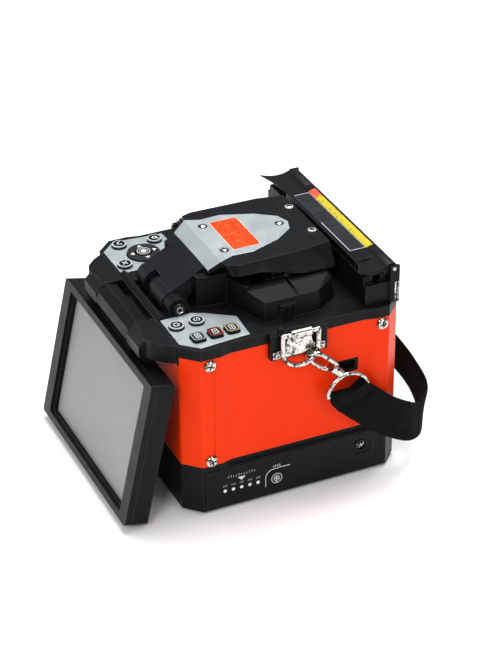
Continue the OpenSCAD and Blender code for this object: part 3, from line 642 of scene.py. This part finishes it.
def cursor_pad():
    """Rings on the centre key and four triangles on the cursor ring."""
    plane = top_plane("key_ok")
    for name, outer, inner in (("ok_outer_ring", 4.3, 3.7), ("ok_inner_ring", 2.7, 2.2)):
        bm = bmesh.new()
        band(bm, plane, circle(outer * MM), circle(inner * MM), -0.2 * MM, 0.1 * MM)
        add_mesh(name, bm, rim_grey, "key_ok_cap")
    bm = bmesh.new()
    prism(bm, plane, circle(1.6 * MM, 24), -0.1 * MM, 0.08 * MM, 0.03 * MM)
    add_mesh("ok_centre", bm, white_paint, "key_ok_cap")
    plane = top_plane("dpad_ring")
    edge = [(10.25, -1.2), (10.28, -0.35), (9.9, 0.06), (9.3, 0.1), (9.1, 0.0)]
    turned_piece("cursor_edge", plane, edge, dark, "cursor", 56)
    triangle = in_mm([(6.4, -1.7), (8.7, 0), (6.4, 1.7)])
    bm = bmesh.new()
    for quarter in range(4):
        prism(bm, plane.spun(quarter * math.pi / 2), triangle, 0.0, MARK)
    add_mesh("cursor_marks", bm, white_paint, "cursor")


cursor_pad()

# ---------------------------------------------------------------- screws

recess_dark = plastic("recess_shadow", (0.01, 0.01, 0.01), 0.5, (0.03, 0.03, 0.03), *PRINT_GRAIN)


def screw_cap(name, plane, radius, height, body, turn):
    """A pan head with a dark cross recess; radius and height in millimetres."""
    dome = [(1, -0.6), (1, 0.25), (0.93, 0.62), (0.7, 0.92), (0.4, 1), (0, 1)]
    turned_piece(name, plane, [(radius * r, height * h) for r, h in dome], chrome, body, 32, 50)
    long = radius * 0.56
    thin = radius * 0.13
    cross = [(long, thin), (thin, thin), (thin, long), (-thin, long), (-thin, thin), (-long, thin)]
    cross += [(-u, -v) for u, v in cross]
    bm = bmesh.new()
    prism(bm, plane.spun(turn), in_mm(cross), height * 0.7 * MM, (height + 0.04) * MM)
    add_mesh(name + "_recess", bm, recess_dark, body)


def panel_screw_caps():
    """Eight pan heads at the corners of the side panels."""
    low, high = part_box("panel_screws")
    radius = 3.75
    inset = radius * MM
    seat = high.x - 1.1 * MM
    for side, name in ((1, "right"), (-1, "left")):
        for i, y in enumerate((low.y + inset, high.y - inset)):
            for j, z in enumerate((low.z + inset, high.z - inset)):
                plane = side_plane(side * seat, y, z, side)
                turn = 0.3 + 0.5 * i + 0.9 * j
                screw_cap(f"panel_screw_{name}_{i}{j}", plane, radius * 1.02, 1.25, "chassis", turn)


panel_screw_caps()

# ---------------------------------------------------------------- battery face

FIRST_LAMP = -47.7
LAMP_PITCH = 5.5
LAMP_LEVEL = 13.6
lamp_white = plastic("lamp_lens", (0.85, 0.86, 0.84), 0.25, (0.9, 0.9, 0.9), 0.0003, 0.000003)
faint_print = plastic("faint_print", (0.34, 0.34, 0.34), 0.5, (0.4, 0.4, 0.4), *PRINT_GRAIN)


def battery_print():
    """Lamps, pointer, check-button line and rings on the battery's face."""
    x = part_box("battery_face")[1].x
    face = side_plane(x)
    lamps = [FIRST_LAMP + LAMP_PITCH * i for i in range(5)]
    middle = sum(lamps) / len(lamps)
    bm = bmesh.new()
    for y in lamps:
        spot = side_plane(x, y * MM, LAMP_LEVEL * MM)
        turned(bm, spot, in_mm([(1.15, -0.4), (1.1, 0.1), (0.7, 0.3), (0, 0.38)]), 24)
    add_mesh("charge_lamps", bm, lamp_white, "battery", 50)
    slant = 0.15
    spots = [y + 1.05 * k for y in lamps for k in (-1, 0, 1)]
    ticks = [(0.42, [(u - slant, 16.6), (u + slant, 17.9)]) for u in spots]
    drawn_piece("lamp_ticks", face, ticks, faint_print, "battery")
    title = []
    for k in range(11):
        u = middle + (k - 5) * 1.75
        tall = 1.9 if k in (0, 1, 4, 8, 9) else 1.3
        title.append((0.5, [(u - slant, 22.4), (u + slant, 22.4 + tall)]))
    drawn_piece("lamp_row_title", face, title, faint_print, "battery")
    bm = bmesh.new()
    pointer = [(middle - 2.7, 21.4), (middle, 18.9), (middle + 2.7, 21.4)]
    prism(bm, face, in_mm(pointer), 0.0, MARK)
    add_mesh("pointer_mark", bm, white_paint, "battery")
    check_print(face)


def check_print(face):
    centre = centre_of("check_button")
    y = centre.y / MM
    line = [(y - 7.0, 8.6), (y - 7.0, 15.2)]
    for t in (0.3, 0.6, 0.9, 1.2, 1.5):
        line.append((y - 7.0 + (1 - math.cos(t)) * 5.4, 15.2 + math.sin(t) * 5.2))
    line += [(y + 4, 20.6), (y + 9.4, 20.5)]
    strokes = [(0.45, [(y + (k - 1.2) * 1.4, 21.7), (y + (k - 1.2) * 1.4, 23.1)]) for k in range(4)]
    drawn_piece("check_line", face, [(0.42, line)] + strokes, white_paint, "battery")
    spot = side_plane(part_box("check_button")[1].x, centre.y, centre.z)
    bm = bmesh.new()
    band(bm, spot, circle(3.7 * MM), circle(3.15 * MM), -0.5 * MM, 0.12 * MM)
    add_mesh("check_rim", bm, rim_grey, "check")
    bm = bmesh.new()
    band(bm, spot, circle(1.95 * MM, 28), circle(1.5 * MM, 28), -0.1 * MM, MARK)
    prism(bm, spot, circle(0.8 * MM, 20), -0.1 * MM, MARK)
    stroke(bm, spot, in_mm([(-0.7, -2.6), (0.7, -2.6)]), 0.5 * MM, -0.05 * MM, MARK)
    add_mesh("check_mark", bm, white_paint, "check")


battery_print()


def jack_parts():
    """The charging jack: a dark socket, a bright centre pin and a frame line round it."""
    spot = centre_of("dc_jack")
    plane = side_plane(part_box("battery_face")[1].x, spot.y, spot.z)
    rim = [(4.35, -0.3), (4.3, 0.35), (3.9, 0.55), (3.4, 0.5), (3.15, 0.2), (3.1, -2.0)]
    pin = [(1.1, -2.2), (1.1, -0.1), (0.8, 0.15), (0, 0.25)]
    turned_piece("jack_rim", plane, rim, black, "battery")
    turned_piece("jack_pin", plane, pin, chrome, "battery", 24)
    drop = -0.4 * MM
    bm = bmesh.new()
    outer = rounded(17 * MM, 12.5 * MM, 1.5 * MM, 0.0, drop)
    inner = rounded(16.3 * MM, 11.8 * MM, 1.3 * MM, 0.0, drop)
    band(bm, plane, outer, inner, -0.1 * MM, 0.16 * MM)
    add_mesh("jack_frame", bm, dark, "battery")


jack_parts()

# ---------------------------------------------------------------- windshield top

label_orange = Finish("label_orange", (0.8, 0.04, 0.002), 0.5)
label_orange.shader.inputs["Specular IOR Level"].default_value = 0.12
label_orange.mottled(0.0016, (0.86, 0.09, 0.015), 0.5, 0.62)
label_orange.smeared(0.004, 0.05)
label_orange.grained(0.0004, 0.000006)
label_dark = plastic("label_strokes", (0.5, 0.02, 0.005), 0.45, (0.6, 0.1, 0.05), *PRINT_GRAIN)

LABEL_WIDE = 36.6
LABEL_DEEP = 17.7
LABEL_Y = -7.1


def label_outline(margin, corner):
    """The label's outline, grown by a margin on each side, in millimetres."""
    wide = (LABEL_WIDE + 2 * margin) * MM
    deep = (LABEL_DEEP + 2 * margin) * MM
    return rounded(wide, deep, corner * MM, 0.0, LABEL_Y * MM)


def windshield_top():
    """A plain orange label with a few strokes, and the screws of the two plates."""
    top = flat_plane(0, 0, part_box("windshield_plate")[1].z)
    face = 0.12 * MM
    raised = 0.16 * MM
    bm = bmesh.new()
    prism(bm, top, label_outline(0.0, 1.2), -0.02 * MM, face)
    add_mesh("shield_label", bm, label_orange, "windshield")
    bm = bmesh.new()
    for k in range(9):
        u = -13 + 3.2 * k
        stroke(bm, top, in_mm([(u, -5.6), (u + 1.4, -2.2)]), 0.9 * MM, face, raised)
        stroke(bm, top, in_mm([(u, -11.6), (u + 1.6, -11.4)]), 0.6 * MM, face, raised)
    add_mesh("shield_label_strokes", bm, label_dark, "windshield")
    bm = bmesh.new()
    band(bm, top, label_outline(0.4, 1.5), label_outline(0.05, 1.2), -0.02 * MM, 0.05 * MM)
    add_mesh("shield_label_edge", bm, white_paint, "windshield")
    for i, (x, y) in enumerate(((-16.3, -21.2), (16.3, -21.2), (0, 23))):
        plate_screw(f"plate_screw_{i}", x, y, top.origin.z, 2.1)
    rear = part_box("windshield_rear_plate")[1].z
    for i, x in enumerate((-16.3, 16.3)):
        plate_screw(f"rear_plate_screw_{i}", x, 37.4, rear, 2.5)


def plate_screw(name, x, y, level, radius):
    """A bright countersunk head in a dark ring; x, y and radius in millimetres."""
    plane = flat_plane(x * MM, y * MM, level)
    ring = [(1.42 * radius, -0.1), (1.4 * radius, 0.12), (1.08 * radius, 0.16), (radius, -0.1)]
    dome = [(1.02 * radius, 0.0), (radius, 0.45), (0.8 * radius, 0.7), (0.42 * radius, 0.8)]
    dome += [(0.36 * radius, 0.35), (0, 0.3)]
    socket = [(0.36 * radius, 0.36), (0, 0.4)]
    turned_piece(name + "_seat", plane, ring, recess_dark, "windshield", 32)
    turned_piece(name + "_head", plane, dome, cream_screw, "windshield", 32)
    turned_piece(name + "_socket", plane, socket, recess_dark, "windshield", 6, None)


windshield_top()

# ---------------------------------------------------------------- heater lid


def strip_print(name, colour, fleck, size, low, high):
    """A printed strip with flecks of another shade."""
    made = Finish(name, colour, 0.42)
    made.mottled(size, fleck, low, high)
    made.smeared(0.005, 0.05)
    made.grained(0.0005, 0.000008)
    return made


strip_yellow = strip_print("strip_yellow", (0.5, 0.4, 0.006), (0.35, 0.26, 0.01), 0.0022, 0.56, 0.62)
strip_red = strip_print("strip_red", (0.85, 0.05, 0.01), (0.95, 0.16, 0.06), 0.002, 0.5, 0.6)
# Thin pale lines laid along the smoked window's edges are painted highlights.
window_glint = plastic("window_glint", (0.3, 0.32, 0.34), 0.2, (0.7, 0.72, 0.74), 0.0006, 0.00001)


def lid_strip(name, x0, x1, finish):
    """A label that follows the top of the lid between the window and the hinge."""
    thick = 0.12
    corners = ((x0, 0.0), (x0, thick), (x1, thick), (x1, 0.0))
    bm = bmesh.new()
    rings = []
    for y, z in ((61.0, 141.75), (63.0, 142.6), (65.4, 142.98)):
        rings.append([bm.verts.new(mm(x, y, z + lift)) for x, lift in corners])
    tube(bm, rings)
    add_mesh(name, bm, finish, "heater_cover")


lid_strip("lid_strip_red", -37.0, -27.0, strip_red)
lid_strip("lid_strip_yellow", -26.8, 43.0, strip_yellow)


def window_edges():
    """Painted highlights along the edges of the smoked window, and the dark ribs seen under it."""
    low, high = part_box("heater_window")
    top = high.z + 0.1 * MM
    back_left = Vector((low.x, high.y, top))
    front_left = Vector((low.x, low.y, top))
    front_right = Vector((high.x, low.y, top))
    back_right = Vector((high.x, high.y, top))
    bm = bmesh.new()
    sweep(bm, [back_left, front_left], 0.28 * MM)
    sweep(bm, [front_left.lerp(front_right, 0.5), front_right], 0.28 * MM)
    sweep(bm, [front_right, back_right], 0.315 * MM)
    sweep(bm, [back_left, back_right], 0.175 * MM)
    add_mesh("window_edge", bm, window_glint, "heater_cover", 60)
    bm = bmesh.new()
    for i in range(5):
        x = low.x + (8 + 9 * i) * MM
        line = [Vector((x, low.y + 1.5 * MM, top)), Vector((x + 1.5 * MM, high.y - 2 * MM, top))]
        sweep(bm, line, 0.18 * MM)
    add_mesh("window_ribs", bm, recess_dark, "heater_cover", 60)


window_edges()

CLAMP_FRONT = 141.2
CLAMP_BACK = 142.4
CLAMP_DIP = 139.3
CLAMP_LOWEST = 139.6
CLAMP_UNDER = 136.6
CLAMP_REAR_Y = 62.4


def clamp_section(t, front, lip):
    """Top points of a clamp at a share t of its length: (y, z, thickness), front to back."""
    points = []
    steps = 18
    for k in range(steps + 1):
        s = k / steps
        front_share = (1 - s) ** 2
        back_share = s ** 3
        front_z = CLAMP_FRONT + (lip - CLAMP_FRONT) * t
        z = front_z * front_share + CLAMP_BACK * back_share
        z += CLAMP_DIP * (1 - front_share - back_share)
        y = front + (CLAMP_REAR_Y - front) * s
        points.append((y, max(CLAMP_LOWEST, z), 0.8 + 2.1 * min(1.0, 2.4 * s)))
    return points


def saddle_clamp(node, body, x_in, x_out, y_in, y_out, lip):
    """A heater clamp: a sheet that dips like a saddle and ends in a thin raised lip."""
    stations = 12
    bm = bmesh.new()
    rings = []
    for i in range(stations + 1):
        t = i / stations
        x = x_in + (x_out - x_in) * t
        section = clamp_section(t, y_in + (y_out - y_in) * t ** 1.6, lip)
        top = [mm(x, y, z) for y, z, thick in section]
        under = [mm(x, y, max(CLAMP_UNDER, z - thick)) for y, z, thick in section]
        under[0].y += 0.5 * MM
        rings.append([bm.verts.new(p) for p in top + under[::-1]])
    join_rings(bm, rings)
    for ring in (rings[0], rings[-1]):
        half = len(ring) // 2
        for k in range(half - 1):
            bm.faces.new((ring[k], ring[k + 1], ring[-2 - k], ring[-1 - k]))
    barrel = [(60.0, 136.7), (60.0, 140.0), (62.2, 142.2), (64.2, 143.0), (66.2, 142.9), (68.0, 142.0),
              (69.0, 140.4), (68.8, 138.6), (67.4, 137.1), (66.0, 136.8)]
    side = side_plane(min(x_in, x_out) * MM)
    prism(bm, side, in_mm(barrel), 0.0, abs(x_out - x_in) * MM, 0.12 * MM)
    piece = add_mesh(node + "_saddle", bm, black, body, 32)
    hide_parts(node)


saddle_clamp("heater_clamp_left", "left_heater_clamp", -43.4, -68.1, 47.6, 41.1, 143.5)
saddle_clamp("heater_clamp_right", "right_heater_clamp", 54.4, 68.1, 48.0, 42.6, 142.2)


def end_strips():
    """Two bright strips down each end of the heater body."""
    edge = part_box("heater_body")[1].x
    low = 118
    high = 131
    for side, name in ((1, "right"), (-1, "left")):
        face = side_plane(side * edge, side=side)
        bm = bmesh.new()
        for y, wide in ((66.4, 0.9), (68.4, 0.5)):
            u = side * y
            corners = [(u, low), (u + wide, low), (u + wide, high), (u, high)]
            prism(bm, face, in_mm(corners), -0.05 * MM, 0.18 * MM)
        add_mesh(f"heater_end_strip_{name}", bm, chrome, "chassis")


def set_screw():
    """The small set screw on top of the windshield hinge's end piece."""
    spot = flat_plane(*mm(26.6, -55.0, 126.3))
    profile = [(1.5, -1.2), (1.5, 0.35), (1.2, 0.6), (0, 0.65)]
    turned_piece("hinge_set_screw", spot, profile, dark, "chassis", 24)


def pin_head():
    """The socket head of the windshield hinge pin: black, with a bright ring round a dark hole."""
    spot = side_plane(*mm(31.0, -57.0, 121.0))
    cap = [(4.1, -1.9), (4.1, -0.6), (3.7, 0.1), (2.9, 0.25), (2.6, 0.05), (2.6, -0.3)]
    ring = [(2.62, -0.2), (2.5, 0.15), (2.05, 0.2), (1.8, -0.05), (1.8, -0.3)]
    hole = [(1.85, -0.05), (1.0, 0.02), (0.0, 0.03)]
    for part, profile, finish in (("cap", cap, black), ("ring", ring, chrome), ("hole", hole, recess_dark)):
        turned_piece("pin_head_" + part, spot, profile, finish, "chassis", 32)


end_strips()
set_screw()
pin_head()

# ---------------------------------------------------------------- hand strap

WEB_WIDE = 25.0 * MM
WEB_THICK = 1.3 * MM
RING_BAR = (80.5, 31, 67.9)
BAR_RADIUS = 1.45
ALONG_BAR = Vector((0, 1, 0))
STRAP_PATH = [(81.5, 41, 58.5), (82.5, 53, 48), (82, 67, 38.5), (79, 78, 33), (72, 88, 32.5),
              (60, 94, 36.5), (45, 95.5, 42), (25, 94.5, 47.5), (0, 94, 50), (-9, 94, 50.3)]
STRAP_ACROSS = [(0, 0.9, 0.44), (0, 0.66, 0.75), (-0.1, 0.3, 0.95), (-0.15, 0.1, 0.98), (-0.1, 0.15, 0.98),
                (0.15, 0.1, 0.98), (0.2, 0, 0.98), (0.15, 0, 0.99), (0, 0, 1), (0, 0, 1)]


def webbing_finish():
    """Black ribbed webbing: the weave follows the length and width of the strap."""
    made = Finish("webbing", (0.0025, 0.0025, 0.003), 0.85)
    made.shader.inputs["Specular IOR Level"].default_value = 0.1
    along = made.nodes.new("ShaderNodeUVMap")
    along.uv_map = "weave"
    made.place = along.outputs["UV"]
    heights = []
    for period, direction in ((0.0017, "Y"), (0.0021, "X")):
        wave = made.nodes.new("ShaderNodeTexWave")
        wave.bands_direction = direction
        wave.inputs["Scale"].default_value = 0.314 / period
        wave.inputs["Distortion"].default_value = 0.6
        wave.inputs["Detail Scale"].default_value = 300.0
        made.links.new(made.place, wave.inputs["Vector"])
        heights.append(wave.outputs["Fac"])
    both = made.nodes.new("ShaderNodeMath")
    both.operation = "MULTIPLY"
    made.links.new(heights[0], both.inputs[0])
    made.links.new(heights[1], both.inputs[1])
    made.mixed(both.outputs["Value"], (0.006, 0.006, 0.007), 0.2, 0.9)
    made.mottled(0.02, (0.004, 0.004, 0.005), 0.5, 0.8)
    made.smeared(0.006, 0.08)
    made.height(both.outputs["Value"], 0.0003, 0.8)
    made.grained(0.0003, 0.00004)
    return made


webbing = webbing_finish()
thread = plastic("strap_thread", (0.035, 0.035, 0.037), 0.7, (0.05, 0.05, 0.05), 0.0003, 0.00002)


def curve_through(points, steps):
    """Points on a smooth curve through the given ones."""
    points = [Vector(p) for p in points]
    ends = [points[0] * 2 - points[1]] + points + [points[-1] * 2 - points[-2]]
    curve = []
    for a, b, c, d in zip(ends, ends[1:], ends[2:], ends[3:]):
        for k in range(steps):
            t = k / steps
            curve.append(((b * 2) + (c - a) * t + (a * 2 - b * 5 + c * 4 - d) * t ** 2
                          + (b * 3 - a - c * 3 + d) * t ** 3) / 2)
    return curve + [points[-1]]


def strap_leg(near, far, across):
    """Three points from the ring's bar towards the strap, turning out of the bar's direction."""
    return [(near.lerp(far, t), ALONG_BAR.lerp(across, t).normalized()) for t in (0.25, 0.5, 0.75)]


def strap_line(side):
    """Middle line and across directions of half the strap, from its folded end to the lap at the back."""
    steps = 8
    spine = [p * MM for p in curve_through(STRAP_PATH, steps)]
    across = [a.normalized() for a in curve_through(STRAP_ACROSS, steps)]
    bar = mm(*RING_BAR)
    wrap = BAR_RADIUS * MM + WEB_THICK / 2
    layer = WEB_THICK * 0.54
    outward = []
    for i, point in enumerate(spine):
        along = spine[min(i + 1, len(spine) - 1)] - spine[max(i - 1, 0)]
        outward.append(-along.cross(across[i]).normalized())
    folded = 18
    line = []
    for i in range(folded, -1, -1):
        lift = layer if i > 0 else layer * 1.4
        line.append((spine[i] + outward[i] * lift, across[i]))
    drop = Vector((0, 0, -1.0 * MM))
    out = Vector((wrap, 0, 0))
    line += strap_leg(bar + drop + out, spine[0] + outward[0] * layer * 1.4, across[0])[::-1]
    for k in range(9):
        angle = math.pi * k / 8
        line.append((bar + Vector((math.cos(angle), 0, math.sin(angle))) * wrap, ALONG_BAR))
    line += strap_leg(bar + drop - out, spine[0] - outward[0] * layer, across[0])
    last = len(spine) - 1
    for i, point in enumerate(spine):
        away = max(0.0, (i - folded - 2) / (last - folded - 2))
        lap = min(1.0, max(0.0, (i - last + 2.6 * steps) / (1.4 * steps)))
        offset = -layer * (1 - min(1.0, away * 4)) + layer * lap * side * 1.04
        line.append((point + outward[i] * offset, across[i]))
    return line


def webbing_strip(name, line, thick, wide):
    """A woven strip along a line of (middle, across) pairs, with a slightly domed section."""
    cells = 10
    bm = bmesh.new()
    weave = bm.loops.layers.uv.new("weave")
    rows = []
    run = 0.0
    for i, (middle, across) in enumerate(line):
        before = line[max(0, i - 1)][0]
        after = line[min(len(line) - 1, i + 1)][0]
        run += (middle - before).length
        along = (after - before).normalized()
        across = (across - along * across.dot(along)).normalized()
        out = along.cross(across)
        loop = []
        for face in (1, -1):
            for k in range(cells + 1):
                s = (k / cells - 0.5) * face
                edge = 1.0 if abs(s) < 0.45 else 0.62
                place = middle + across * (s * wide) + out * (face * thick / 2 * edge)
                loop.append((bm.verts.new(place), s * wide, run))
        rows.append(loop)
    count = len(rows[0])
    for a, b in zip(rows, rows[1:]):
        for k in range(count):
            n = (k + 1) % count
            corners = (a[k], a[n], b[n], b[k])
            face = bm.faces.new([c[0] for c in corners])
            for loop, corner in zip(face.loops, corners):
                loop[weave].uv = (corner[1], corner[2])
    for loop_row in (rows[0][::-1], rows[-1]):
        face = bm.faces.new([c[0] for c in loop_row])
        for loop, corner in zip(face.loops, loop_row):
            loop[weave].uv = (corner[1], corner[2])
    return add_mesh(name, bm, webbing, None, 60)


def stitch_rows(name, line, first, last, lift):
    """A stitched box with a cross in it, over a stretch of the line."""
    bm = bmesh.new()

    def spot(index, s):
        low = min(len(line) - 2, int(index))
        t = index - low
        middle = line[low][0].lerp(line[low + 1][0], t)
        across = line[low][1].lerp(line[low + 1][1], t).normalized()
        along = (line[low + 1][0] - line[low][0]).normalized()
        across = (across - along * across.dot(along)).normalized()
        return middle + across * (s * WEB_WIDE) + along.cross(across) * lift

    corners = [(first, -0.4), (last, -0.4), (last, 0.4), (first, 0.4)]
    rows = [(*corners[a], *corners[b]) for a, b in ((0, 1), (3, 2), (0, 3), (1, 2), (0, 2), (3, 1))]
    for i0, s0, i1, s1 in rows:
        count = 11
        for k in range(count):
            a = (k + 0.2) / count
            b = (k + 0.8) / count
            ends = [spot(i0 + (i1 - i0) * t, s0 + (s1 - s0) * t) for t in (a, (a + b) / 2, b)]
            sweep(bm, ends, 0.28 * MM)
    return add_mesh(name, bm, thread, None, 60)


def on_side(point, side):
    """A vector given for the right-hand side, or its mirror image with side -1."""
    return Vector((point.x * side, point.y, point.z))


def hand_strap():
    """Two lengths of webbing, each folded over a half ring and lapped together at the back."""
    for name, body, side in (("right", "right_ring", 1), ("left", "left_ring", -1)):
        line = strap_line(side)
        line = [(on_side(middle, side), on_side(across, side)) for middle, across in line]
        lift = side * WEB_THICK / 2
        strip = webbing_strip(f"strap_web_{name}", line, WEB_THICK, WEB_WIDE)
        rows = [stitch_rows(f"strap_stitches_{name}", line, 3.0, 16.0, lift)]
        stood_for = ["strap_end_" + name]
        if side > 0:
            lap = len(line) - 1
            rows.append(stitch_rows("strap_lap_stitches", line, lap - 12.0, lap - 1.5, -lift))
            stood_for.append("strap_back")
        for piece in [strip] + rows:
            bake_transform(piece)
        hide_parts(*stood_for)


hand_strap()
